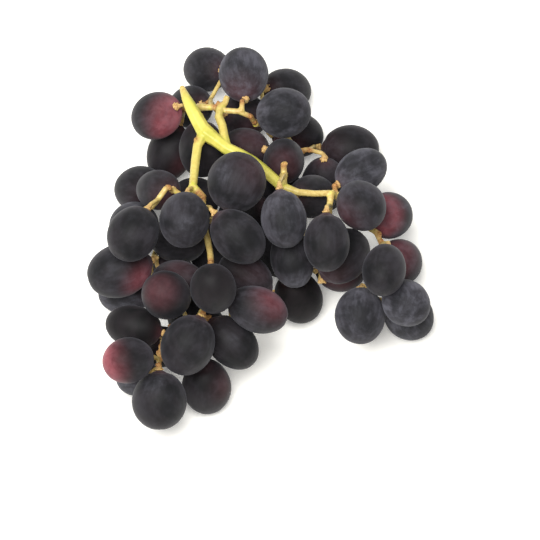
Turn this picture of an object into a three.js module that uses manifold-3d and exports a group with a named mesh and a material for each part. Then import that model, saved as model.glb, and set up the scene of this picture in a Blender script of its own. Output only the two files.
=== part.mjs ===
// A bunch of black table grapes, picked with its stem and lying on its side.
// Millimetres, +Z up, +X to the right, +Y away from the front of the bunch.
// Each berry is one solid. The peduncle, its branches and all the berry stalks grew as one piece,
// so they are one solid too.
import * as THREE from 'three';
import { mergeVertices } from 'three/addons/utils/BufferGeometryUtils.js';
import Module from 'manifold-3d';

const wasm = await Module();
wasm.setup();

// ---- Driving dimensions -------------------------------------------------------------------

const FULL_LENGTH = 25.5; // a whole berry, stalk end to blossom end
const BLUNTNESS = 0.04; // how much narrower the stalk end is than the blossom end
const BERRY_FACETS = 2; // subdivisions of the icosahedron that a berry is shaped from
const FLAT_DEPTH = 0.4; // how far a berry's weight flattens it on the surface
const LOW_BERRY = 14.5; // a berry listed lower than this rests on the surface
const SKIN_GAP = 0.3; // clearance between two berries, and between a berry and the stem

const STALK_RADIUS = 0.95; // the thin stalk of one berry
const CUSHION_RADIUS = 2.2; // the flared cushion that a stalk ends in
const STALK_SIDES = 5;
const STALK_STEP = 4; // length of one step of a stalk's tube
const STRAIGHT_END = 2.4; // the stalk leaves its berry in line with it for this length
const BRANCH_SIDES = 7;
const BRANCH_STEP = 6.5; // length of one step of a branch's tube
const NODE_SWELL = 1.3; // how much thicker a branch is where it grows from another

const MERGE_DISTANCE = 0.001; // corners this close are one corner

const SKIN_COLOUR = 0x2f2b33;
const STEM_COLOUR = 0xd8cf62;

// ---- The layout's own directions ----------------------------------------------------------

// Places are listed as across, up and height. Across and up lie on a sloping plane that leans
// back from the front of the bunch, and height is above the surface.
const FACE_LEAN = THREE.MathUtils.degToRad(62);
const RIGHT = new THREE.Vector3(1, 0, 0);
const UP_FACE = new THREE.Vector3(0, Math.sin(FACE_LEAN), Math.cos(FACE_LEAN));
const OUTWARD = new THREE.Vector3(0, -Math.cos(FACE_LEAN), Math.sin(FACE_LEAN));
const DOWN = new THREE.Vector3(0, 0, -1);

function place([across, up, height]) {
  return new THREE.Vector3(across, (up - height * Math.cos(FACE_LEAN)) / Math.sin(FACE_LEAN), height);
}

// ---- The stem's branches ------------------------------------------------------------------

// Each branch: its radius at the start and at the end, and its route.
const BRANCHES = {
  peduncle: { radii: [2.2, 3.4], route: [[-35, 66, 47], [-33, 61, 47], [-29, 53, 46], [-25, 46, 45]] },
  rachis: {
    radii: [3.0, 2.3],
    route: [[-25, 46, 45], [-18, 41, 44], [-14, 38, 44], [-7, 35, 44], [0, 30, 45], [9, 22, 46]],
  },
  spur: { radii: [1.5, 1.3], route: [[9, 22, 46], [9.5, 26, 50], [9.5, 32, 54.5]] },
  right_arm: {
    radii: [1.6, 1.3],
    route: [[9, 22, 46], [12.5, 20.5, 46.5], [18, 19.5, 46.5], [25, 19.2, 45], [30, 19.5, 44]],
  },
  right_tail: {
    radii: [1.3, 1.2],
    route: [[30, 19.5, 44], [37, 14, 34], [44, 6, 31], [51, 1, 33], [52, -8, 27], [49, -16, 22],
      [47.5, -26, 19]],
  },
  right_inner: {
    radii: [1.3, 1.1],
    route: [[30, 19.5, 44], [29.5, 15, 45], [29, 7, 34], [28, 0, 26], [27, -8, 22]],
  },
  left_arm: {
    radii: [2.1, 1.7],
    route: [[-25, 46, 45], [-28, 40, 45], [-29, 32, 45], [-30, 22, 47]],
  },
  left_tail: {
    radii: [1.5, 1.1],
    route: [[-30, 22, 47], [-25.5, 18, 46], [-26, 10, 42], [-23.6, -1, 37], [-22, -11, 37], [-24, -23, 32],
      [-26, -33, 32], [-34, -37, 30], [-41, -40, 28], [-44, -50, 24], [-45, -56, 22]],
  },
  left_shoulder: {
    radii: [1.4, 1.1],
    route: [[-30, 22, 47], [-34, 18, 43], [-38, 20, 45], [-40, 23, 49], [-44, 18, 49], [-48, 13, 43]],
  },
  left_inner: {
    radii: [1.4, 1.1],
    route: [[-30, 22, 47], [-33, 17, 36], [-38, 12, 25], [-42, 5, 21], [-46, -5, 20]],
  },
  heart: { radii: [1.3, 1.1], route: [[-24, -23, 32], [-12, -24, 22], [-3, -20, 20]] },
  middle_arm: {
    radii: [1.5, 1.1],
    route: [[9, 22, 46], [13, 13, 42], [16, 6, 37], [19, 0, 28], [19, -8, 21]],
  },
  upper_arm: { radii: [2.0, 1.7], route: [[-16, 40, 44], [-17, 48, 42], [-19, 54, 40], [-18, 57, 39]] },
  upper_twig: {
    radii: [1.3, 1.1],
    route: [[-27, 57, 36], [-22, 57, 37], [-18, 56, 39], [-13, 55, 39.5], [-9, 55, 39.5], [-5, 53, 37],
      [-3, 50, 31]],
  },
  upper_stub: { radii: [1.4, 1.3], route: [[-18, 57, 39], [-16, 59, 39], [-15.3, 61.5, 39]] },
  middle_stub: { radii: [1.1, 1.0], route: [[-9, 55, 39.5], [-8.7, 57.5, 40], [-8.6, 60, 40]] },
  crown_twig: { radii: [1.2, 1.0], route: [[-22, 57, 37], [-22.3, 59, 30], [-22.5, 60.5, 22]] },
  shoulder_twig: { radii: [1.2, 1.0], route: [[-27, 57, 36], [-31, 57, 33], [-34, 56, 29]] },
  upper_right: {
    radii: [1.3, 1.1],
    route: [[-3, 50, 31], [3, 50, 25], [9, 46, 23], [14, 40, 24], [17.5, 37.5, 28], [20.5, 38.5, 27]],
  },
  upper_right_stub: { radii: [1.2, 1.1], route: [[17.5, 37.5, 28], [18.5, 34, 28], [21, 30.5, 27]] },
};

// ---- The berries --------------------------------------------------------------------------

// Each berry: across, up, height of its centre, the length and width that it shows square to
// the sloping plane, and the turn of its long side from across, in degrees.
const OUTER_BERRIES = [
  [-23.9, 73.9, 13, 21.5, 19.8, -12],
  [-8, 71.3, 34, 24.2, 21.8, -85],
  [10, 64.6, 12, 22.5, 19.5, 0],
  [9, 54, 32, 24, 22, 10],
  [-45, 53.5, 24, 23, 20.5, 25],
  [-28, 57, 13, 20, 19, 0],
  [-8, 54, 12, 22.5, 19.8, 0],
  [-5, 37, 22, 22, 19, 0],
  [16, 45, 12, 24, 19.8, 0],
  [7.4, 33.2, 37, 20, 18, -90],
  [36.8, 37.6, 20, 26, 21, -3],
  [43, 29, 33, 24, 19, 30],
  [43, 14, 50, 23, 21, -50],
  [55, 9, 24, 21.5, 20.5, 0],
  [59.5, -9.5, 13, 21, 21, 0],
  [53, -14, 48, 23, 19, -100],
  [62, -28, 37, 22, 20, 145],
  [63.5, -33, 11, 24, 21.5, 150],
  [42.8, -33.6, 28, 24.8, 22.2, -90],
  [-43.5, -47.5, 9, 18, 17, 90],
  [28, -2, 56, 25.4, 20, -90],
  [35, -8, 37, 26, 22, 50],
  [32.5, -13.5, 14, 23.5, 20, 5],
  [9, 8, 58, 25.4, 20, -82],
  [13, -9, 34, 26, 19, -80],
  [16, -25, 11, 24, 21, -60],
  [-2, -31, 43, 27, 20, -20],
  [-6, -17, 30, 26, 19, -35],
  [-21, -22, 56, 22, 20, -80],
  [-10, 1, 53, 27, 21, -45],
  [-33, 8.4, 54, 24.5, 22, 85],
  [-55, 2, 53, 25, 22, 60],
  [-55.5, 5.7, 16, 22, 21, 0],
  [-50.8, 22.4, 13, 23.4, 20.4, 0],
  [-45, 20.8, 31, 19.5, 17.5, 0],
  [-41, 36.6, 14, 25.5, 20, 70],
  [-26, 39, 31, 25, 20, -90],
  [-11, 24, 61, 26.4, 25.6, 75],
  [20, 20, 31, 21, 19, 0],
  [26.5, 26.5, 12, 24, 20.5, 90],
  [-61, -14.4, 27, 29, 23.3, 18],
  [-58.5, -23, 11, 24, 18, -5],
  [-41, -25, 42, 22, 21, -30],
  [-54, -39, 26, 25, 18.5, -12],
  [-32, -46, 33, 27, 23, 65],
  [-57.5, -53.3, 36, 22.5, 20, 10],
  [-45, -69.3, 16, 25.5, 24, -90],
  [-23.5, -63.2, 12, 24.5, 22, -80],
  [-53.5, -59.5, 11, 19, 18, 0],
  [-14, -46, 24, 27, 20, -45],
  [-37.5, -3.6, 28, 25, 20, -8],
  [-37, -17.7, 26, 23, 18, 0],
];

// The berries under the others, which fill the middle of the bunch.
const INNER_BERRIES = [
  [-29, 15.5, 12, 25, 21, 30],
  [5, 24, 12, 24, 19, 80],
  [-22, -4, 14, 24, 20, 70],
  [-8, 14, 14, 24, 20, 10],
  [-28.5, -36, 12, 27, 20, -20],
  [7.5, -4, 12, 26, 23, -60],
  [-44.5, -12, 10, 18.5, 17, 0],
];

// ---- Settling the berries and stalks together ---------------------------------------------

const SETTLING_STEPS = 420;
const FREE_STEPS = 120; // the last steps, in which nothing is drawn back to its listed place
const PULL_ON_FACE = 0.2; // how firmly a berry keeps its listed place on the sloping plane
const PULL_IN_DEPTH = 0.006; // how firmly it keeps its listed height
const STALK_SHARE = 0.97; // how much of a push between a berry and a stalk the stalk takes
const STALK_POINTS = 5; // the bends of one stalk between its branch and its straight end
const NORMAL_STEPS = 6; // refinements of the direction in which two berries are pushed apart

// The distance from a berry's centre to the plane that touches it in a direction.
function reach(berry, direction) {
  const along = direction.dot(berry.axis) ** 2;
  return Math.sqrt(berry.halfWidth ** 2 * (1 - along) + berry.halfLength ** 2 * along);
}

// The point of a berry's skin that faces a direction.
function facingPoint(berry, direction) {
  const stretch = (berry.halfLength ** 2 - berry.halfWidth ** 2) * direction.dot(berry.axis);
  const point = direction.clone().multiplyScalar(berry.halfWidth ** 2);
  return point.addScaledVector(berry.axis, stretch).divideScalar(reach(berry, direction));
}

// How deep two berries overlap, and the direction that parts them soonest.
function overlap(one, other) {
  const apart = other.centre.clone().sub(one.centre);
  const distance = apart.length();
  if (distance > one.halfLength + other.halfLength + SKIN_GAP) return null;
  const normal = apart.clone().normalize();
  for (let step = 0; step < NORMAL_STEPS; step += 1) {
    const slope = apart.clone().sub(facingPoint(one, normal)).sub(facingPoint(other, normal));
    normal.addScaledVector(slope, 0.5 / distance).normalize();
  }
  const depth = reach(one, normal) + reach(other, normal) + SKIN_GAP - apart.dot(normal);
  return depth > 0 ? { normal, depth } : null;
}

function partBerries(berries) {
  for (let first = 0; first < berries.length; first += 1) {
    for (let second = first + 1; second < berries.length; second += 1) {
      const found = overlap(berries[first], berries[second]);
      if (!found) continue;
      berries[first].centre.addScaledVector(found.normal, -found.depth / 2);
      berries[second].centre.addScaledVector(found.normal, found.depth / 2);
    }
  }
}

// Keeps a berry clear of a round stem part that passes through a point.
function clearOf(berry, point, radius, berryShare, pointShare) {
  const apart = point.clone().sub(berry.centre);
  const distance = apart.length();
  if (distance > berry.halfLength + radius + SKIN_GAP || distance === 0) return;
  const normal = apart.divideScalar(distance);
  const depth = reach(berry, normal) + radius + SKIN_GAP - distance;
  if (depth <= 0) return;
  berry.centre.addScaledVector(normal, -depth * berryShare);
  point.addScaledVector(normal, depth * pointShare);
}

function clearOfBranches(berries, branches) {
  const nearest = new THREE.Vector3();
  for (const branch of branches) {
    for (const berry of berries) {
      for (const segment of branch.segments) {
        segment.line.closestPointToPoint(berry.centre, true, nearest);
        clearOf(berry, nearest, segment.radius, 1, 0);
      }
    }
  }
}

// The stalk's end on its berry, and the point where its straight end begins.
function stalkEnd(berry, distance) {
  return berry.centre.clone().addScaledVector(berry.axis, berry.halfLength + SKIN_GAP + distance);
}

function settleStalk(stalk, berries) {
  const last = stalkEnd(stalk.berry, STRAIGHT_END);
  const chain = [stalk.root, ...stalk.bends, last];
  stalk.bends.forEach((bend, index) => {
    const middle = chain[index].clone().add(chain[index + 2]).multiplyScalar(0.5);
    bend.lerp(middle, 0.5);
  });
  for (const bend of stalk.bends) {
    for (const berry of berries) clearOf(berry, bend, STALK_RADIUS, 1 - STALK_SHARE, STALK_SHARE);
  }
}

function drawBack(berry) {
  const away = berry.listed.clone().sub(berry.centre);
  const inDepth = away.dot(OUTWARD);
  berry.centre.addScaledVector(away.addScaledVector(OUTWARD, -inDepth), PULL_ON_FACE);
  berry.centre.addScaledVector(OUTWARD, inDepth * PULL_IN_DEPTH);
}

function restOnSurface(berry) {
  const lowest = reach(berry, DOWN) - FLAT_DEPTH;
  if (berry.low || berry.centre.z < lowest) berry.centre.z = lowest;
}

function settle(berries, stalks, branches) {
  for (let step = 0; step < SETTLING_STEPS; step += 1) {
    if (step < SETTLING_STEPS - FREE_STEPS) berries.forEach(drawBack);
    for (const stalk of stalks) settleStalk(stalk, berries);
    clearOfBranches(berries, branches);
    partBerries(berries);
    berries.forEach(restOnSurface);
  }
}

// ---- Berries ------------------------------------------------------------------------------

function makeBerry([across, up, height, seenLength, width, turn], number, branches) {
  const centre = place([across, up, height]);
  const length = Math.max(FULL_LENGTH, seenLength);
  const slant = Math.sqrt((seenLength ** 2 - width ** 2) / (length ** 2 - width ** 2));
  const angle = THREE.MathUtils.degToRad(turn);
  const onFace = RIGHT.clone().multiplyScalar(Math.cos(angle)).addScaledVector(UP_FACE, Math.sin(angle));
  const toStem = nearestOnBranches(centre, branches).sub(centre);
  const faceSign = toStem.dot(onFace) < 0 ? -1 : 1;
  const depthSign = toStem.dot(OUTWARD) < 0 ? -1 : 1;
  const axis = onFace.multiplyScalar(faceSign * slant);
  axis.addScaledVector(OUTWARD, depthSign * Math.sqrt(1 - slant ** 2)).normalize();
  return {
    name: `berry_${String(number).padStart(2, '0')}`,
    centre,
    listed: centre.clone(),
    axis,
    halfLength: length / 2,
    halfWidth: width / 2,
    low: height < LOW_BERRY,
  };
}

// A round form with many small facets, drawn out along Z and a little narrower at the stalk end.
function berryGeometry(berry, extra) {
  const geometry = new THREE.IcosahedronGeometry(1, BERRY_FACETS);
  const position = geometry.attributes.position;
  for (let index = 0; index < position.count; index += 1) {
    const along = position.getZ(index);
    const girth = (berry.halfWidth + extra) * (1 - BLUNTNESS * Math.max(0, along));
    position.setXYZ(index, position.getX(index) * girth, position.getY(index) * girth,
      along * (berry.halfLength + extra));
  }
  const upright = new THREE.Vector3(0, 0, 1);
  geometry.applyQuaternion(new THREE.Quaternion().setFromUnitVectors(upright, berry.axis));
  geometry.translate(berry.centre.x, berry.centre.y, berry.centre.z);
  return geometry;
}

function berrySolid(berry) {
  const solid = toSolid(berryGeometry(berry, 0));
  if (berry.centre.z > reach(berry, DOWN)) return solid;
  const size = 2 * FULL_LENGTH;
  const surface = new THREE.BoxGeometry(size, size, size);
  surface.translate(berry.centre.x, berry.centre.y, -size / 2);
  return solid.subtract(toSolid(surface));
}

// ---- Stem ---------------------------------------------------------------------------------

function makeBranch(name, { radii, route }) {
  const curve = new THREE.CatmullRomCurve3(route.map(place));
  const steps = Math.max(2, Math.round(curve.getLength() / BRANCH_STEP));
  const points = curve.getSpacedPoints(steps);
  const ringRadii = points.map((point, index) => THREE.MathUtils.lerp(radii[0], radii[1], index / steps));
  const segments = points.slice(1).map((point, index) => ({
    line: new THREE.Line3(points[index], point),
    radius: ringRadii[index],
  }));
  if (name !== 'peduncle') ringRadii[0] *= NODE_SWELL;
  return { curve, ringRadii, segments };
}

function nearestOnBranches(point, branches) {
  const candidate = new THREE.Vector3();
  const best = new THREE.Vector3();
  let bestDistance = Infinity;
  for (const branch of branches) {
    for (const segment of branch.segments) {
      segment.line.closestPointToPoint(point, true, candidate);
      const distance = candidate.distanceTo(point);
      if (distance >= bestDistance) continue;
      bestDistance = distance;
      best.copy(candidate);
    }
  }
  return best;
}

function makeStalk(berry, branches) {
  const start = stalkEnd(berry, STRAIGHT_END);
  const root = nearestOnBranches(start, branches);
  const bends = [];
  for (let index = 1; index <= STALK_POINTS; index += 1) {
    bends.push(root.clone().lerp(start, index / (STALK_POINTS + 1)));
  }
  return { berry, root, bends };
}

// A tube along a curve, with a radius of its own at each ring.
function tubeGeometry(curve, ringRadii, sides) {
  const steps = ringRadii.length - 1;
  const section = new THREE.Shape();
  for (let side = 0; side < sides; side += 1) {
    const angle = (side / sides) * 2 * Math.PI;
    if (side === 0) section.moveTo(Math.cos(angle), Math.sin(angle));
    else section.lineTo(Math.cos(angle), Math.sin(angle));
  }
  section.closePath();
  const geometry = new THREE.ExtrudeGeometry(section, { steps, extrudePath: curve });
  const rings = curve.getSpacedPoints(steps);
  const position = geometry.attributes.position;
  const corner = new THREE.Vector3();
  for (let index = 0; index < position.count; index += 1) {
    corner.fromBufferAttribute(position, index);
    const distances = rings.map((ring) => ring.distanceTo(corner));
    const ring = distances.indexOf(Math.min(...distances));
    corner.sub(rings[ring]).multiplyScalar(ringRadii[ring]).add(rings[ring]);
    position.setXYZ(index, corner.x, corner.y, corner.z);
  }
  return geometry;
}

// The stalk of one berry, which flares at its end into the cushion that the berry sits on.
function stalkGeometry({ berry, root, bends }) {
  const ends = [stalkEnd(berry, STRAIGHT_END), stalkEnd(berry, 0)];
  const curve = new THREE.CatmullRomCurve3([root, ...bends, ...ends]);
  const steps = Math.max(3, Math.round(curve.getLength() / STALK_STEP));
  const ringRadii = new Array(steps).fill(STALK_RADIUS);
  return tubeGeometry(curve, [...ringRadii, CUSHION_RADIUS], STALK_SIDES);
}

function stemSolid(berries, stalks, branches) {
  const tubes = branches.map((branch) => tubeGeometry(branch.curve, branch.ringRadii, BRANCH_SIDES));
  const pieces = [...tubes, ...stalks.map(stalkGeometry)].map(toSolid);
  let solid = wasm.Manifold.union(pieces);
  for (const berry of berries) solid = solid.subtract(toSolid(berryGeometry(berry, SKIN_GAP)));
  return largestBody(solid);
}

// ---- Solids and meshes --------------------------------------------------------------------

function toSolid(geometry) {
  geometry.deleteAttribute('normal');
  geometry.deleteAttribute('uv');
  const merged = mergeVertices(geometry, MERGE_DISTANCE);
  const mesh = new wasm.Mesh({
    numProp: 3,
    vertProperties: new Float32Array(merged.attributes.position.array),
    triVerts: new Uint32Array(merged.index.array),
  });
  return new wasm.Manifold(mesh);
}

function toGeometry(solid) {
  const { vertProperties, triVerts } = solid.getMesh();
  const geometry = new THREE.BufferGeometry();
  geometry.setAttribute('position', new THREE.BufferAttribute(vertProperties, 3));
  geometry.setIndex(new THREE.BufferAttribute(triVerts, 1));
  return geometry;
}

// A solid without the loose scraps that cutting it has left. Scraps that hang on by an edge come
// loose when the solid's corners are merged.
function largestBody(solid) {
  const bodies = toSolid(toGeometry(solid)).decompose();
  bodies.sort((one, other) => other.volume() - one.volume());
  return bodies[0];
}

function toMesh(solid, name, material) {
  const mesh = new THREE.Mesh(toGeometry(solid), material);
  mesh.name = name;
  return mesh;
}

const skin = new THREE.MeshStandardMaterial({ color: SKIN_COLOUR, roughness: 0.5, metalness: 0 });
const wood = new THREE.MeshStandardMaterial({ color: STEM_COLOUR, roughness: 0.6, metalness: 0 });

const branches = Object.entries(BRANCHES).map(([name, shape]) => makeBranch(name, shape));
const berries = [...OUTER_BERRIES, ...INNER_BERRIES].map((row, index) => makeBerry(row, index + 1, branches));
const stalks = berries.map((berry) => makeStalk(berry, branches));
settle(berries, stalks, branches);

const bunch = new THREE.Group();
for (const berry of berries) bunch.add(toMesh(berrySolid(berry), berry.name, skin));
bunch.add(toMesh(stemSolid(berries, stalks, branches), 'stem', wood));

// The origin is on the surface, under the middle of the bunch.
const box = new THREE.Box3().setFromObject(bunch);
const middle = box.getCenter(new THREE.Vector3());
bunch.position.set(-middle.x, -middle.y, -box.min.z);

export default bunch;
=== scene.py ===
"""The looks of a bunch of black table grapes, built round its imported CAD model.

Every berry of the CAD model gets a fine mesh of its own, with the seat and the groove round its stalk, the
scar at its other end and a waxy skin. The stem gets one fine mesh, with warty cushions under the berries
and knots where berries have come off.
"""

import math

import bmesh
import bpy
import numpy as np
from mathutils import Matrix, Vector, bvhtree, kdtree, noise


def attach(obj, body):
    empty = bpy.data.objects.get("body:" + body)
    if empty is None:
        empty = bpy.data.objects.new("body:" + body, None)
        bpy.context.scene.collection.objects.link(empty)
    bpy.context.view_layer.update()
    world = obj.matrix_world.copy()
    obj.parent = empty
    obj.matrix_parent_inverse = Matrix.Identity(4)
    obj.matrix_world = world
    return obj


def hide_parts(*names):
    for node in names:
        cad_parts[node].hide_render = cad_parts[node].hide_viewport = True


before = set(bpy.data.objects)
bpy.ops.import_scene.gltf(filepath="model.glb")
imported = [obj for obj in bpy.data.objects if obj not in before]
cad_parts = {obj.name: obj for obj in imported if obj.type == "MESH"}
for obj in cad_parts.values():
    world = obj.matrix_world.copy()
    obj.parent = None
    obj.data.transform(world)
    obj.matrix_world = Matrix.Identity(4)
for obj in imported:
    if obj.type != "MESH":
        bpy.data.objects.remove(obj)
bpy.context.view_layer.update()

MM = 0.001

# ---- Where the camera looks from ----------------------------------------------------------

VIEW_ELEVATION = math.radians(62)
RIGHT = Vector((1, 0, 0))
UP = Vector((0, math.sin(VIEW_ELEVATION), math.cos(VIEW_ELEVATION)))
OUTWARD = Vector((0, -math.cos(VIEW_ELEVATION), math.sin(VIEW_ELEVATION)))

# Places on the front of the bunch are measured on a sloping plane that faces the camera and passes
# through this point. Across, up and outward are along RIGHT, UP and OUTWARD.
FACE_ORIGIN = Vector((0.346, 8.153, 0)) * MM

CAMERA_DISTANCE = 8.0
CAMERA_REACH = 20.0
VIEW_WIDTH = 234.8 * MM
VIEW_CENTRE_ACROSS = 3.5 * MM
VIEW_CENTRE_UP = -13.9 * MM
MIDDLE_DEPTH = 25 * MM
SENSOR_WIDTH = 36

# ---- Floor and light ----------------------------------------------------------------------

# The place of the light and the point that it is turned to, from the origin and in metres.
KEY_LIGHT_ACROSS = -0.28
KEY_LIGHT_UP = 0.3
KEY_LIGHT_OUTWARD = 1.3
KEY_LIGHT_TARGET = Vector((0, 0, 0.03))
KEY_LIGHT_SIZE = 1.1
KEY_LIGHT_POWER = 36.0
KEY_LIGHT_COLOUR = (1.0, 0.99, 0.975)

STUDIO_COLOUR = (1.0, 1.0, 1.0, 1)
STUDIO_STRENGTH = 0.5

FLOOR_HALF_SIDE = 3.0
FLOOR_GAP = 0.05 * MM  # between the floor and the part
FLOOR_SURFACE = {
    "Base Color": (0.93, 0.92, 0.875, 1),
    "Roughness": 0.9,
    "Specular IOR Level": 0.1,
    "Emission Color": (1.0, 0.995, 0.975, 1),
    "Emission Strength": 0.2,
}

# ---- The colours and surfaces of the part, each colour from its darkest to its lightest ---

BLACK_SKIN = [(0.0050, 0.0050, 0.0052), (0.0105, 0.0085, 0.0095)]
RED_SKIN = [(0.125, 0.026, 0.033), (0.21, 0.055, 0.066)]
# Pale bloom, also used for the painted highlights that are laid on as bloom.
BLOOM_AND_HIGHLIGHT_COLOUR = (0.118, 0.118, 0.142)
BLOOM_AND_HIGHLIGHT_COVER = 0.64  # how much of the skin's own colour the thickest bloom or painted highlight hides
SKIN_SURFACE = {
    "IOR": 1.38,
    "Specular IOR Level": 0.16,
    "Diffuse Roughness": 1.0,
    "Sheen Weight": 0.05,
    "Sheen Roughness": 0.4,
    "Sheen Tint": (0.85, 0.87, 1.0, 1),
}

GREEN_STALK = [(0.42, 0.405, 0.058), (0.55, 0.48, 0.095)]
GOLDEN_TWIG = [(0.42, 0.29, 0.085), (0.56, 0.44, 0.16)]
OLIVE_STREAK = (0.30, 0.26, 0.05)
STRAW_CUSHION = [(0.28, 0.145, 0.045), (0.56, 0.37, 0.15)]
BROWN_KNOT = [(0.15, 0.055, 0.015), (0.42, 0.205, 0.065)]
STEM_SURFACE = {"Specular IOR Level": 0.4}

# ---- The berries' own features ------------------------------------------------------------

FINE_SUBDIVISIONS = 5
PLUMPNESS = 1.006  # a fine berry against the smooth form that its CAD solid is cut from
STALK_TAPER = 0.04
UNEVENNESS = 0.012
UNEVEN_SCALE = 1.4
UNEVEN_STEP = (3.7, 1.3, 0)  # from one berry's place in the noise to the next one's
PATTERN_SHIFT = 1.0  # how far a berry's pattern of bloom may be shifted in the noise
SEAT_RISE = 0.4 * MM  # the skin rises to meet the cushion of its stalk
SEAT_RADIUS = 2.0 * MM
PUCKER_DEPTH = 0.35 * MM  # the groove round the cushion
PUCKER_RADIUS = 3.6 * MM
PUCKER_WIDTH = 1.1 * MM
SCAR_HEIGHT = 0.16 * MM  # the dot that the flower has left at the other end
SCAR_RADIUS = 0.55 * MM
SCAR_PIT_DEPTH = 0.22 * MM
SCAR_PIT_RADIUS = 1.7 * MM
SEAT_BLUSH = 0.16  # the skin is redder round the stalk
SEAT_BLUSH_RADIUS = 4.0 * MM
PATCH_FADE = 3  # how steeply a patch of red or of bloom fades from its middle
STREAK_SCALE = (1, 1, 0.22)  # streaks of bloom run along the berry

# Red, half-ripe patches: berry, strength, how far round the berry it spreads (1 for a quarter of the
# way), and the side that it is on as across, up and outward. A strength over 1 keeps the skin fully red
# for some way round the middle of the patch.
BLUSHES = [
    ("berry_02", 0.22, 0.87, (-0.1, -0.8, 0.8)),
    ("berry_05", 1.80, 1.45, (0.75, -0.25, 0.65)),
    ("berry_07", 0.20, 1.01, (0.5, -0.6, 0.6)),
    ("berry_08", 0.14, 1.16, (0.2, 0.2, 1.0)),
    ("berry_09", 0.35, 1.16, (-0.6, -0.5, 0.6)),
    ("berry_10", 0.18, 0.72, (0.0, -0.1, 1.0)),
    ("berry_11", 0.06, 1.01, (-0.9, 0.0, 0.6)),
    ("berry_13", 0.18, 0.87, (-0.7, -0.5, 0.5)),
    ("berry_14", 2.00, 1.20, (-0.4, 0.0, 0.9)),
    ("berry_15", 0.55, 1.30, (-0.2, 0.3, 0.9)),
    ("berry_22", 0.12, 1.01, (-0.5, -0.6, 0.6)),
    ("berry_23", 0.30, 1.16, (0.0, -0.3, 0.9)),
    ("berry_27", 0.45, 1.01, (0.6, 0.4, 0.7)),
    ("berry_28", 0.10, 1.16, (0.3, 0.2, 0.9)),
    ("berry_34", 0.08, 1.01, (0.3, -0.4, 0.8)),
    ("berry_35", 0.20, 0.87, (0.4, -0.4, 0.8)),
    ("berry_36", 0.20, 0.72, (0.7, -0.6, 0.5)),
    ("berry_38", 0.08, 0.87, (0.6, 0.4, 0.6)),
    ("berry_41", 0.75, 0.72, (0.8, -0.4, 0.45)),
    ("berry_43", 0.27, 0.72, (-0.25, 0.15, 0.95)),
    ("berry_46", 1.70, 1.30, (-0.95, -0.2, 0.2)),
    ("berry_48", 0.11, 0.72, (0.7, 0.0, 0.6)),
    ("berry_52", 0.12, 1.01, (0.0, 0.4, 0.9)),
]

# How much pale bloom a berry has, where it isn't the usual amount.
USUAL_BLOOM = 0.22
MORE_BLOOM_AT_STALK = 0.25
BLOOMS = {
    "berry_01": 0.35, "berry_02": 0.80, "berry_03": 0.30, "berry_04": 0.76, "berry_05": 0.30,
    "berry_12": 0.90, "berry_13": 0.42, "berry_14": 0.52, "berry_15": 0.35, "berry_17": 1.00,
    "berry_18": 0.95, "berry_19": 0.78, "berry_20": 0.07, "berry_24": 0.62, "berry_25": 0.30,
    "berry_26": 0.00, "berry_27": 0.38, "berry_28": 0.34, "berry_29": 0.04, "berry_30": 0.26,
    "berry_31": 0.42, "berry_33": 0.75, "berry_36": 0.10, "berry_37": 0.08, "berry_38": 0.26,
    "berry_41": 0.34, "berry_42": 0.90, "berry_43": 0.12, "berry_44": 0.04, "berry_48": 0.14,
    "berry_49": 0.95, "berry_50": 0.14,
}

# Painted highlights: sides where the bloom is made thicker so that a berry looks paler there, given as the
# red patches are.
PAINTED_HIGHLIGHT_BLOOMS = [
    ("berry_25", 0.80, 0.91, (0.3, -0.9, 0.3)),
    ("berry_31", 0.70, 0.39, (0.1, -0.1, 1.0)),
    ("berry_38", 0.70, 0.39, (-0.45, 0.3, 0.85)),
    ("berry_41", 0.50, 0.52, (-0.3, 0.5, 0.8)),
    ("berry_47", 0.60, 0.52, (-0.2, 0.6, 0.7)),
    ("berry_50", 0.40, 0.26, (0.1, 0.1, 1.0)),
]

# ---- The stem's own features --------------------------------------------------------------

STEM_SEED = 7
LUMP_SUBDIVISIONS = 2
STEM_VOXEL = 0.34 * MM
STEM_SMOOTHING_STEPS = 5
STEM_SMOOTHING = 0.5
STEM_PLUMPING = 0.14 * MM  # the roundness that smoothing takes away, given back
THICK_PLUMPING = 0.03 * MM  # and more of it on the thick branches
THIN_STALK = 2.4 * MM
THICK_STALK = 4.6 * MM
THICKEST_STALK = 10 * MM
UNDER_SURFACE = 0.05 * MM  # where the way through the stem starts to be measured

STEM_RIPPLE = 0.1 * MM
STEM_RIPPLE_SCALE = 900
STEM_RIPPLE_FRACTAL = (0.6, 2.0, 3)  # its increment, lacunarity and octaves
RIPPLE_ON_STALKS = 0.4  # of the ripple in the middle of a cushion or knot

CUSHION_RADIUS = 1.6 * MM
CUSHION_REACH = 2.0 * MM  # how far from a berry its cushion is found
CAD_CUSHION_RADIUS = 2.8 * MM
CUSHION_CORE_RADIUS = 0.95 * MM
CUSHION_CORE_RISE = 0.2 * MM  # from the ring of warts towards the berry
WARTS_ROUND_CUSHION = 8
WART_RING_RISE = 0.7 * MM  # from the end of the berry's smooth form
WART_RING_SHARES = (0.8, 1.05)  # of the cushion's radius
WART_TURN_SHARE = 0.25  # how far a wart may be from its even place in the ring
WART_RADIUS = 0.42 * MM
WART_SIZES = (0.75, 1.25)

# How far the colour and the roughness of a cushion and of a knot reach, and how soon they are full.
CUSHION_MARK = 5.0 * MM
KNOT_MARK = 2.8 * MM
MARK_GAIN = 1.6

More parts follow.
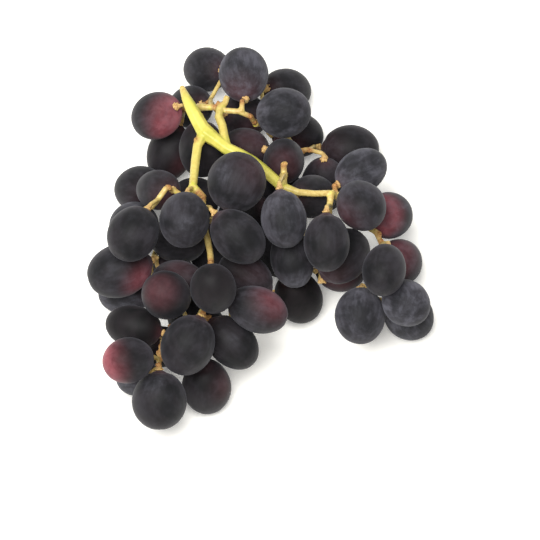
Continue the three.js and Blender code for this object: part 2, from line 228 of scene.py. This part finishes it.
# Knots where berries or twigs have come off: across, up, and radius, in millimetres.
KNOTS = [
    (9.6, 31.7, 1.7), (29.1, 22.5, 1.4), (31.5, 20.5, 1.3), (-29.6, 42.6, 1.0), (-27.4, 19.1, 1.1),
    (-25.7, 17.8, 1.0), (-22.2, -10.6, 1.4), (-19.6, 58.9, 1.3), (-23.9, 59.0, 1.2), (-20.0, 57.5, 1.1),
    (-8.6, 59.6, 0.9), (-5.0, 53.0, 1.2), (-3.2, 50.5, 1.1), (17.6, 37.6, 1.3), (20.6, 38.0, 1.0),
    (20.8, 31.0, 1.1), (-39.8, 22.4, 1.5), (50.9, 1.6, 1.4), (52.0, -1.5, 1.2), (-25.2, -32.6, 1.2),
    (-22.6, -34.3, 1.1), (-40.5, -38.5, 1.3), (-44.6, -47.0, 1.3), (-46.4, -49.8, 1.3), (-43.6, -50.8, 1.4),
    (-42.6, -53.6, 1.3), (-45.0, -55.0, 1.2), (-35.2, 56.5, 1.2),
]
# How far beside a knot's place the stem is looked for, in millimetres, and in which directions.
KNOT_SEARCH_REACHES = [0.0, 0.8, 1.6, 2.4, 3.2]
KNOT_SEARCH_ANGLES = range(0, 360, 45)
OVER_BUNCH = 0.2  # far enough outward to be in front of the whole stem

# How a knot is made up, in shares of its radius, apart from the number of its lumps.
KNOT_SINK = 0.5
KNOT_CORE = 0.8
KNOT_LUMPS = 6
KNOT_LUMP_REACH = 0.7
KNOT_LUMP_SIZES = (0.25, 0.42)

# The cut end of the peduncle, and the way that the peduncle goes on from it: across, up and outward,
# in millimetres.
CUT_END = (-35, 66, 18.1)
PEDUNCLE_WAY = (2, -5, 2.7)
CUT_END_TAPER = 9 * MM
CUT_END_WIDTH = 0.45  # of the peduncle's own width
PEDUNCLE_REACH = 4 * MM


# ---- Building shader nodes ----------------------------------------------------------------


class Shader:
    """A material's node tree, with short ways to add the nodes that it needs."""

    # Where a node that mixes colours has its two colours and its result.
    MIX_COLOURS = (6, 7)
    MIX_RESULT = 2

    def __init__(self, name, surface_values):
        self.material = bpy.data.materials.new(name)
        self.material.use_nodes = True
        self.nodes = self.material.node_tree.nodes
        self.links = self.material.node_tree.links
        self.surface = self.nodes["Principled BSDF"]
        for key, value in surface_values.items():
            self.surface.inputs[key].default_value = value

    def add(self, kind, inputs, **settings):
        made = self.nodes.new(kind)
        for key, value in settings.items():
            setattr(made, key, value)
        for key, value in inputs.items():
            self.give(made.inputs[key], value)
        return made

    def give(self, socket, value):
        if isinstance(value, bpy.types.NodeSocket):
            self.links.new(value, socket)
        else:
            socket.default_value = value

    def drive_surface(self, outputs):
        for key, output in outputs.items():
            self.links.new(output, self.surface.inputs[key])

    def attribute(self, name, output="Fac"):
        return self.add("ShaderNodeAttribute", {}, attribute_name=name).outputs[output]

    def maths(self, operation, first, second, clamp=False):
        made = self.add("ShaderNodeMath", {0: first, 1: second}, operation=operation, use_clamp=clamp)
        return made.outputs[0]

    def noise(self, vector, scale, detail, roughness=0.55, distortion=0.0):
        values = {"Vector": vector, "Scale": scale, "Detail": detail, "Roughness": roughness,
                  "Distortion": distortion}
        return self.add("ShaderNodeTexNoise", values).outputs["Fac"]

    def stretch(self, value, low, high, to_low=0.0, to_high=1.0):
        """Turns what lies between low and high into what lies between to_low and to_high, smoothly."""
        values = {"Value": value, "From Min": low, "From Max": high, "To Min": to_low, "To Max": to_high}
        return self.add("ShaderNodeMapRange", values, interpolation_type="SMOOTHSTEP").outputs["Result"]

    def mix(self, factor, first, second):
        made = self.add("ShaderNodeMix", {"Factor": factor}, data_type="RGBA")
        for index, value in zip(self.MIX_COLOURS, (first, second)):
            self.give(made.inputs[index], value if isinstance(value, bpy.types.NodeSocket) else (*value, 1))
        return made.outputs[self.MIX_RESULT]

    def scaled(self, vector, scale):
        return self.add("ShaderNodeMapping", {"Vector": vector, "Scale": scale}).outputs["Vector"]

    def bump(self, height, strength, distance, under=None):
        values = {"Height": height, "Strength": strength, "Distance": distance}
        if under is not None:
            values["Normal"] = under
        return self.add("ShaderNodeBump", values).outputs["Normal"]


# ---- Camera, floor and light --------------------------------------------------------------


def make_camera():
    data = bpy.data.cameras.new("camera")
    camera = bpy.data.objects.new("camera", data)
    bpy.context.scene.collection.objects.link(camera)
    data.sensor_width = SENSOR_WIDTH
    data.lens = SENSOR_WIDTH * CAMERA_DISTANCE / VIEW_WIDTH
    data.clip_end = CAMERA_REACH
    target = FACE_ORIGIN + RIGHT * VIEW_CENTRE_ACROSS + UP * VIEW_CENTRE_UP + OUTWARD * MIDDLE_DEPTH
    camera.location = target + OUTWARD * CAMERA_DISTANCE
    camera.rotation_mode = "QUATERNION"
    camera.rotation_quaternion = (-OUTWARD).to_track_quat("-Z", "Y")
    bpy.context.scene.camera = camera


def make_key_light():
    """One large soft disc of light on the camera's side of the bunch, a little up and to the left."""
    data = bpy.data.lights.new("key_light", "AREA")
    data.shape = "DISK"
    data.size = KEY_LIGHT_SIZE
    data.energy = KEY_LIGHT_POWER
    data.color = KEY_LIGHT_COLOUR
    light = bpy.data.objects.new("key_light", data)
    light.location = OUTWARD * KEY_LIGHT_OUTWARD + UP * KEY_LIGHT_UP + RIGHT * KEY_LIGHT_ACROSS
    light.rotation_mode = "QUATERNION"
    light.rotation_quaternion = (KEY_LIGHT_TARGET - light.location).to_track_quat("-Z", "Y")
    bpy.context.scene.collection.objects.link(light)


def make_studio():
    """An even white light from all round, and colours shown as they are."""
    world = bpy.data.worlds.new("studio")
    world.use_nodes = True
    background = world.node_tree.nodes["Background"]
    background.inputs["Color"].default_value = STUDIO_COLOUR
    background.inputs["Strength"].default_value = STUDIO_STRENGTH
    bpy.context.scene.world = world
    bpy.context.scene.view_settings.view_transform = "Standard"


def make_floor():
    """A white table that glows a little, so that it looks almost as bright as the studio."""
    mesh = bpy.data.meshes.new("floor")
    half = FLOOR_HALF_SIDE
    corners = [(-half, -half, 0), (half, -half, 0), (half, half, 0), (-half, half, 0)]
    mesh.from_pydata(corners, [], [(0, 1, 2, 3)])
    floor = bpy.data.objects.new("floor", mesh)
    floor.location.z = -FLOOR_GAP
    bpy.context.scene.collection.objects.link(floor)
    mesh.materials.append(Shader("floor", FLOOR_SURFACE).material)


# ---- Skin and stem materials --------------------------------------------------------------


def wax_and_highlight_cover(shader, place, broad, patchy, specks):
    """How much of the skin the bloom and the painted highlights hide: in patches, streaked along the berry
    and finely specked.
    """
    streaks = shader.noise(shader.scaled(place, STREAK_SCALE), scale=420, detail=4, roughness=0.6)
    wax_and_highlight = shader.maths("ADD", shader.maths("MULTIPLY", broad, 0.6), shader.maths("MULTIPLY", patchy, 0.4))
    wax_and_highlight = shader.stretch(wax_and_highlight, 0.39, 0.61, 0.35, 1.0)
    wax_and_highlight = shader.maths("MULTIPLY", wax_and_highlight, shader.stretch(streaks, 0.4, 0.6, 0.6, 1.0))
    wax_and_highlight = shader.maths("MULTIPLY", wax_and_highlight, shader.stretch(specks, 0.3, 0.7, 0.85, 1.0))
    return shader.maths("MULTIPLY", wax_and_highlight, shader.attribute("bloom"), clamp=True)


def skin_material():
    """Black-purple skin under a patchy waxy bloom with painted highlights in it, with red patches where a
    berry is half ripe.
    """
    shader = Shader("skin", SKIN_SURFACE)
    place = shader.attribute("place", "Vector")
    broad = shader.noise(place, scale=85, detail=3, distortion=0.5)
    patchy = shader.noise(place, scale=230, detail=6, roughness=0.6, distortion=0.3)
    specks = shader.noise(place, scale=2400, detail=2, roughness=0.5)
    pores = shader.noise(place, scale=900, detail=3)

    black = shader.mix(shader.stretch(broad, 0.35, 0.65), *BLACK_SKIN)
    red = shader.mix(shader.stretch(patchy, 0.3, 0.7), *RED_SKIN)
    flesh = shader.mix(shader.attribute("blush"), black, red)
    # The bloom, with the painted highlights laid on as bloom.
    wax_and_highlight = wax_and_highlight_cover(shader, place, broad, patchy, specks)
    shader.drive_surface({
        "Base Color": shader.mix(shader.maths("MULTIPLY", wax_and_highlight, BLOOM_AND_HIGHLIGHT_COVER), flesh, BLOOM_AND_HIGHLIGHT_COLOUR),
        "Roughness": shader.stretch(wax_and_highlight, 0.0, 0.5, 0.56, 0.72),
        "Normal": shader.bump(specks, 0.1, 0.05 * MM, shader.bump(pores, 0.15, 0.1 * MM)),
    })
    return shader.material


def stalk_colour(shader, broad, fine):
    """Yellow-green on the thick branches and golden on the twigs, with olive streaks on both."""
    green = shader.mix(shader.stretch(broad, 0.35, 0.65), *GREEN_STALK)
    golden = shader.mix(shader.stretch(fine, 0.35, 0.65), *GOLDEN_TWIG)
    stalk = shader.mix(shader.attribute("thick"), golden, green)
    return shader.mix(shader.stretch(fine, 0.55, 0.75, 0.0, 0.4), stalk, OLIVE_STREAK)


def stem_material():
    """Yellow-green stalk with golden twigs, straw-coloured cushions and brown warty knots."""
    shader = Shader("stem", STEM_SURFACE)
    place = shader.add("ShaderNodeTexCoord", {}).outputs["Object"]
    broad = shader.noise(place, scale=110, detail=3)
    fine = shader.noise(place, scale=620, detail=5, roughness=0.6)
    specks = shader.noise(place, scale=2100, detail=3, roughness=0.6)
    knot = shader.attribute("knot")
    cushion = shader.attribute("cushion")

    mottled = shader.stretch(fine, 0.3, 0.55, 0.45, 1.0)
    colour = stalk_colour(shader, broad, fine)
    for mark, colours in ((cushion, STRAW_CUSHION), (knot, BROWN_KNOT)):
        marked = shader.mix(shader.stretch(specks, 0.35, 0.65), *colours)
        colour = shader.mix(shader.maths("MULTIPLY", mark, mottled, clamp=True), colour, marked)
    shader.drive_surface({
        "Base Color": colour,
        "Roughness": shader.stretch(shader.maths("MAXIMUM", knot, cushion), 0.0, 1.0, 0.42, 0.75),
        "Normal": shader.bump(specks, 0.3, 0.1 * MM, shader.bump(fine, 0.3, 0.2 * MM)),
    })
    return shader.material


# ---- Meshes -------------------------------------------------------------------------------


def corner_places(mesh):
    places = np.empty(len(mesh.vertices) * 3)
    mesh.vertices.foreach_get("co", places)
    return places.reshape(-1, 3)


def corner_normals(mesh):
    normals = np.empty(len(mesh.vertices) * 3)
    mesh.vertices.foreach_get("normal", normals)
    return normals.reshape(-1, 3)


def node_points(name):
    """The distinct corners of a CAD node, in metres."""
    return np.unique(corner_places(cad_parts[name].data).round(7), axis=0)


def tree_of(points):
    """A search tree that finds the nearest of these points."""
    tree = kdtree.KDTree(len(points))
    for index, point in enumerate(points):
        tree.insert(point, index)
    tree.balance()
    return tree


def unit_sphere(subdivisions):
    """The corners and faces of a sphere of even triangles."""
    form = bmesh.new()
    bmesh.ops.create_icosphere(form, subdivisions=subdivisions, radius=1)
    corners = np.array([vertex.co[:] for vertex in form.verts])
    faces = [[vertex.index for vertex in face.verts] for face in form.faces]
    form.free()
    return corners / np.linalg.norm(corners, axis=1)[:, None], faces


def make_piece(name, corners, faces, material):
    mesh = bpy.data.meshes.new(name)
    mesh.from_pydata(corners.tolist(), [], faces)
    mesh.materials.append(material)
    mesh.shade_smooth()
    piece = bpy.data.objects.new(name, mesh)
    bpy.context.scene.collection.objects.link(piece)
    return piece


def add_values(piece, name, values):
    """A number for every corner of a piece, for its material to read."""
    attribute = piece.data.attributes.new(name, "FLOAT", "POINT")
    attribute.data.foreach_set("value", np.asarray(values, dtype=np.float32))


def add_vectors(piece, name, vectors):
    """A vector for every corner of a piece, for its material to read."""
    attribute = piece.data.attributes.new(name, "FLOAT_VECTOR", "POINT")
    attribute.data.foreach_set("vector", vectors.astype(np.float32).ravel())


# ---- Berries ------------------------------------------------------------------------------


class Berry:
    """The smooth form that a berry's faceted CAD solid is cut from."""

    def __init__(self, name, number, stem_tree):
        self.name = name
        self.number = number
        points = node_points(name)
        self.centre = points.mean(axis=0)
        spread, directions = np.linalg.eigh(np.cov((points - self.centre).T, bias=True))
        halves = np.sqrt(3 * spread)
        self.half_width = float(halves[:2].mean())
        self.half_length = float(halves[2])
        self.axis = self.towards_stalk(directions[:, 2], stem_tree)

    def towards_stalk(self, axis, stem_tree):
        """The long axis, pointing to the end that the stalk's cushion is nearest to."""
        gaps = []
        for sign in (1, -1):
            end = self.centre + axis * sign * self.half_length
            gaps.append(stem_tree.find(end)[2])
        return axis if gaps[0] < gaps[1] else -axis

    def stalk_end(self):
        return Vector(self.centre + self.axis * self.half_length)


def berry_corners(berry, sphere):
    """A fine berry in its own directions, with +Z towards its stalk."""
    seed = Vector([step * berry.number for step in UNEVEN_STEP])
    uneven = np.array([noise.noise(Vector(corner) * UNEVEN_SCALE + seed) for corner in sphere])
    plump = PLUMPNESS * (1 + UNEVENNESS * uneven)
    along = sphere[:, 2]
    girth = berry.half_width * (1 - STALK_TAPER * np.maximum(0, along)) * plump
    corners = np.empty_like(sphere)
    corners[:, 0] = sphere[:, 0] * girth
    corners[:, 1] = sphere[:, 1] * girth
    corners[:, 2] = along * berry.half_length * plump
    from_axis = np.hypot(corners[:, 0], corners[:, 1])
    seat = SEAT_RISE * np.exp(-((from_axis / SEAT_RADIUS) ** 2))
    pucker = PUCKER_DEPTH * np.exp(-(((from_axis - PUCKER_RADIUS) / PUCKER_WIDTH) ** 2))
    dot = SCAR_HEIGHT * np.exp(-((from_axis / SCAR_RADIUS) ** 4))
    pit = SCAR_PIT_DEPTH * np.exp(-((from_axis / SCAR_PIT_RADIUS) ** 2))
    corners[:, 2] += np.where(along > 0, seat - pucker, pit - dot)
    return corners


def patches_of(berry, patches, normals):
    """The strength of a berry's own patches at each corner, fading out from the middle of each."""
    strongest = np.zeros(len(normals))
    for name, strength, spread, (across, up, outward) in patches:
        if name != berry.name:
            continue
        side = (RIGHT * across + UP * up + OUTWARD * outward).normalized()
        share = np.clip((normals @ np.array(side) - 1 + spread) / spread, 0, 1)
        strongest = np.maximum(strongest, strength * share**PATCH_FADE)
    return strongest


def blush_of(berry, sphere, normals):
    """How red each corner is: round the stalk, and in the berry's half-ripe patch."""
    from_axis = np.hypot(sphere[:, 0], sphere[:, 1]) * berry.half_width
    at_seat = np.where(sphere[:, 2] > 0, np.exp(-((from_axis / SEAT_BLUSH_RADIUS) ** 2)), 0)
    return np.maximum(SEAT_BLUSH * at_seat, patches_of(berry, BLUSHES, normals))


def bloom_and_highlight_of(berry, sphere, normals):
    """How much bloom each corner has: more towards the stalk, and painted highlights laid on as thick bloom
    on the sides given for them.
    """
    usual = BLOOMS.get(berry.name, USUAL_BLOOM) * (1 + MORE_BLOOM_AT_STALK * sphere[:, 2])
    return np.maximum(usual, patches_of(berry, PAINTED_HIGHLIGHT_BLOOMS, normals))


def make_berry(berry, sphere, faces, material):
    """One fine berry, with the values that its skin's patches and bloom are mixed by."""
    turn = np.array(Vector((0, 0, 1)).rotation_difference(Vector(berry.axis)).to_matrix())
    corners = berry_corners(berry, sphere) @ turn.T
    corners[:, 2] = np.maximum(corners[:, 2], -berry.centre[2])  # flat where it would go into the table
    piece = make_piece(f"skin_{berry.name}", corners, faces, material)
    piece.location = berry.centre
    bpy.context.view_layer.update()

    normals = corners / np.linalg.norm(corners, axis=1)[:, None]
    add_values(piece, "blush", blush_of(berry, sphere, normals))
    # The bloom values hold the painted highlights too.
    add_values(piece, "bloom", bloom_and_highlight_of(berry, sphere, normals))
    random = np.random.default_rng(berry.number)
    add_vectors(piece, "place", corners @ turn + random.uniform(-PATTERN_SHIFT, PATTERN_SHIFT, 3))

    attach(piece, "root")
    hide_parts(berry.name)


# ---- Stem ---------------------------------------------------------------------------------


class Lumps:
    """Small round lumps, gathered as plain corners and faces."""

    def __init__(self):
        self.sphere, self.sphere_faces = unit_sphere(LUMP_SUBDIVISIONS)
        self.corners = []
        self.faces = []

    def add(self, centre, radius):
        first = len(self.corners) * len(self.sphere)
        self.corners.append(self.sphere * radius + np.array(centre))
        self.faces.extend([[first + corner for corner in face] for face in self.sphere_faces])


def add_cushions(lumps, berries, random):
    """The warty cushion that every berry sits on."""
    for berry in berries:
        axis = Vector(berry.axis)
        side = axis.orthogonal().normalized()
        middle = berry.stalk_end() + axis * WART_RING_RISE
        lumps.add(middle + axis * CUSHION_CORE_RISE, CUSHION_CORE_RADIUS)
        for index in range(WARTS_ROUND_CUSHION):
            place_in_ring = index + random.uniform(-WART_TURN_SHARE, WART_TURN_SHARE)
            way = Matrix.Rotation(2 * math.pi * place_in_ring / WARTS_ROUND_CUSHION, 3, axis) @ side
            reach = CUSHION_RADIUS * random.uniform(*WART_RING_SHARES)
            lumps.add(middle + way * reach, WART_RADIUS * random.uniform(*WART_SIZES))


def narrowed_cushions(corners, berries):
    """The CAD stem's corners, with the wide end of every stalk drawn in to its cushion's real width."""
    narrowed = corners.copy()
    for berry in berries:
        away = corners - np.array(berry.stalk_end())
        along = away @ berry.axis
        aside = away - along[:, None] * berry.axis
        wide = np.linalg.norm(aside, axis=1)
        found = (np.abs(along) < CUSHION_REACH) & (wide > CUSHION_RADIUS) & (wide < CAD_CUSHION_RADIUS)
        shrink = CUSHION_RADIUS / wide[found] - 1
        narrowed[found] += aside[found] * shrink[:, None]
    return narrowed


def narrowed_end(corners):
    """The CAD stem's corners, with the cut end of the peduncle drawn in to its dry, narrow tip."""
    sides = np.array([RIGHT, UP, OUTWARD])
    tip = np.array(FACE_ORIGIN) + np.array(CUT_END) @ sides * MM
    way = np.array(PEDUNCLE_WAY) @ sides
    way /= np.linalg.norm(way)
    away = corners - tip
    along = away @ way
    aside = away - along[:, None] * way
    found = (along < CUT_END_TAPER) & (np.linalg.norm(aside, axis=1) < PEDUNCLE_REACH)
    width = CUT_END_WIDTH + (1 - CUT_END_WIDTH) * np.clip(along / CUT_END_TAPER, 0, 1)
    narrowed = corners.copy()
    narrowed[found] -= aside[found] * (1 - width[found])[:, None]
    return narrowed


def front_of_stem(tree, across, up):
    """The foremost point of the stem at a place on the sloping plane, or close beside it."""
    for reach in KNOT_SEARCH_REACHES:
        for angle in KNOT_SEARCH_ANGLES:
            aside = RIGHT * math.cos(math.radians(angle)) + UP * math.sin(math.radians(angle))
            place = FACE_ORIGIN + RIGHT * across * MM + UP * up * MM + aside * reach * MM
            hit = tree.ray_cast(place + OUTWARD * OVER_BUNCH, -OUTWARD)
            if hit[0] is not None:
                return hit[0]
    return None


def add_knots(lumps, tree, random):
    """Lumpy knots on the stem. Returns their places."""
    places = []
    for across, up, size in KNOTS:
        place = front_of_stem(tree, across, up)
        if place is None:
            continue
        radius = size * MM
        middle = place - OUTWARD * KNOT_SINK * radius
        places.append(middle)
        lumps.add(middle, KNOT_CORE * radius)
        for _ in range(KNOT_LUMPS):
            way = Vector(random.normal(size=3)).normalized()
            lumps.add(middle + way * KNOT_LUMP_REACH * radius, radius * random.uniform(*KNOT_LUMP_SIZES))
    return places


def stem_with_lumps(berries):
    """The CAD stem with its cushions and knots, as one crude mesh, and the places of the knots."""
    random = np.random.default_rng(STEM_SEED)
    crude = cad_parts["stem"].data
    corners = narrowed_end(narrowed_cushions(corner_places(crude), berries))
    faces = [list(face.vertices) for face in crude.polygons]
    lumps = Lumps()
    add_cushions(lumps, berries, random)
    knots = add_knots(lumps, bvhtree.BVHTree.FromPolygons(corners.tolist(), faces), random)
    faces += [[len(corners) + corner for corner in face] for face in lumps.faces]
    return np.concatenate([corners, *lumps.corners]), faces, knots


def remesh(piece, material):
    """Fuses a piece's corners and faces into one even, smooth mesh."""
    modifier = piece.modifiers.new("remesh", "REMESH")
    modifier.mode = "VOXEL"
    modifier.voxel_size = STEM_VOXEL
    smooth = piece.modifiers.new("smooth", "SMOOTH")
    smooth.iterations = STEM_SMOOTHING_STEPS
    smooth.factor = STEM_SMOOTHING
    graph = bpy.context.evaluated_depsgraph_get()
    mesh = bpy.data.meshes.new_from_object(piece.evaluated_get(graph))
    piece.modifiers.clear()
    mesh.materials.clear()
    mesh.materials.append(material)
    mesh.shade_smooth()
    piece.data = mesh


def closeness(places, marks, radius):
    """1 at a mark, falling to 0 at a distance of radius from the nearest one."""
    tree = tree_of(marks)
    gaps = np.array([tree.find(place)[2] for place in places])
    return np.clip(1 - gaps / radius, 0, 1)


def thickness(mesh, places, normals):
    """How far it is from each corner straight through the stem to its other side."""
    tree = bvhtree.BVHTree.FromPolygons(places.tolist(), [face.vertices[:] for face in mesh.polygons])
    through = np.empty(len(places))
    for index, (place, normal) in enumerate(zip(places, normals)):
        inward = -Vector(normal)
        hit = tree.ray_cast(Vector(place) + inward * UNDER_SURFACE, inward, THICKEST_STALK)
        through[index] = hit[3] if hit[3] is not None else 0
    return through


def make_stem(berries, material):
    """The one fine stem, with the values that its colours are mixed by."""
    corners, faces, knots = stem_with_lumps(berries)
    piece = make_piece("fine_stem", corners, faces, material)
    remesh(piece, material)

    places = corner_places(piece.data)
    normals = corner_normals(piece.data)
    ripple = [noise.fractal(Vector(place) * STEM_RIPPLE_SCALE, *STEM_RIPPLE_FRACTAL) for place in places]
    through = thickness(piece.data, places, normals)
    thick = np.clip((through - THIN_STALK) / (THICK_STALK - THIN_STALK), 0, 1)
    cushion = closeness(places, [berry.stalk_end() for berry in berries], CUSHION_MARK)
    knot = closeness(places, knots, KNOT_MARK)
    rippled = STEM_RIPPLE * np.array(ripple) * (RIPPLE_ON_STALKS + cushion + knot)
    raised = STEM_PLUMPING + THICK_PLUMPING * thick + rippled
    piece.data.vertices.foreach_set("co", (places + normals * raised[:, None]).ravel())
    piece.data.update()

    add_values(piece, "cushion", np.clip(MARK_GAIN * cushion, 0, 1))
    add_values(piece, "knot", np.clip(MARK_GAIN * knot, 0, 1))
    add_values(piece, "thick", thick)
    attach(piece, "root")
    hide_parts("stem")


# ---- The whole bunch ----------------------------------------------------------------------


def make_bunch():
    names = sorted(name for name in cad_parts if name.startswith("berry_"))
    stem_tree = tree_of(node_points("stem"))
    berries = [Berry(name, number, stem_tree) for number, name in enumerate(names, 1)]
    sphere, faces = unit_sphere(FINE_SUBDIVISIONS)
    skin = skin_material()
    for berry in berries:
        make_berry(berry, sphere, faces, skin)
    make_stem(berries, stem_material())


make_camera()
make_key_light()
make_studio()
make_floor()
make_bunch()
